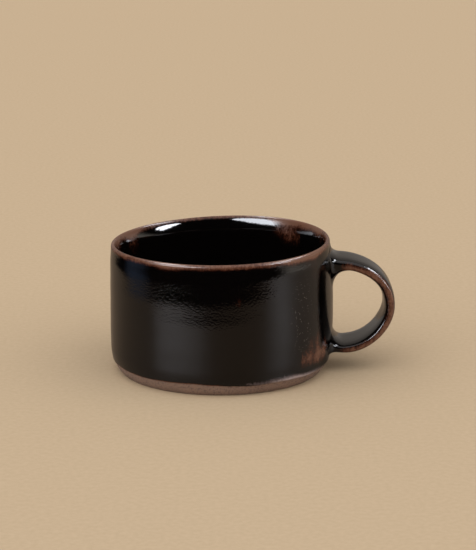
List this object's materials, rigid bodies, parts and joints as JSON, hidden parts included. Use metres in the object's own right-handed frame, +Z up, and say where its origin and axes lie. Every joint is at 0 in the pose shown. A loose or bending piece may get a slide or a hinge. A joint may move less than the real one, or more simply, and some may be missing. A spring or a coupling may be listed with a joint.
{
  "type": "wide mug",
  "caption": "Wide, low hand-thrown stoneware mug with a pulled strap handle, glossy black iron glaze that breaks to brown at the rim, and a bare clay foot band.",
  "frame": {"origin": "centre of the foot, on the table", "axes": "+Z up, +X out along the handle, so the picture looks along +Y"},
  "size_m": [0.1445, 0.1136, 0.0678],
  "materials": {
    "stoneware_clay": "matte",
    "slip_clay": "matte",
    "black_iron_glaze": "gloss",
    "brown_iron_glaze": "gloss"
  },
  "bodies": {
    "root": {"thrown_body": "stoneware_clay", "pulled_handle": "stoneware_clay", "upper_luting_slip": "slip_clay", "lower_luting_slip": "slip_clay", "inside_glaze": "black_iron_glaze", "outside_glaze": "black_iron_glaze", "rim_glaze": "brown_iron_glaze", "handle_glaze": "black_iron_glaze"}
  },
  "joints": []
}
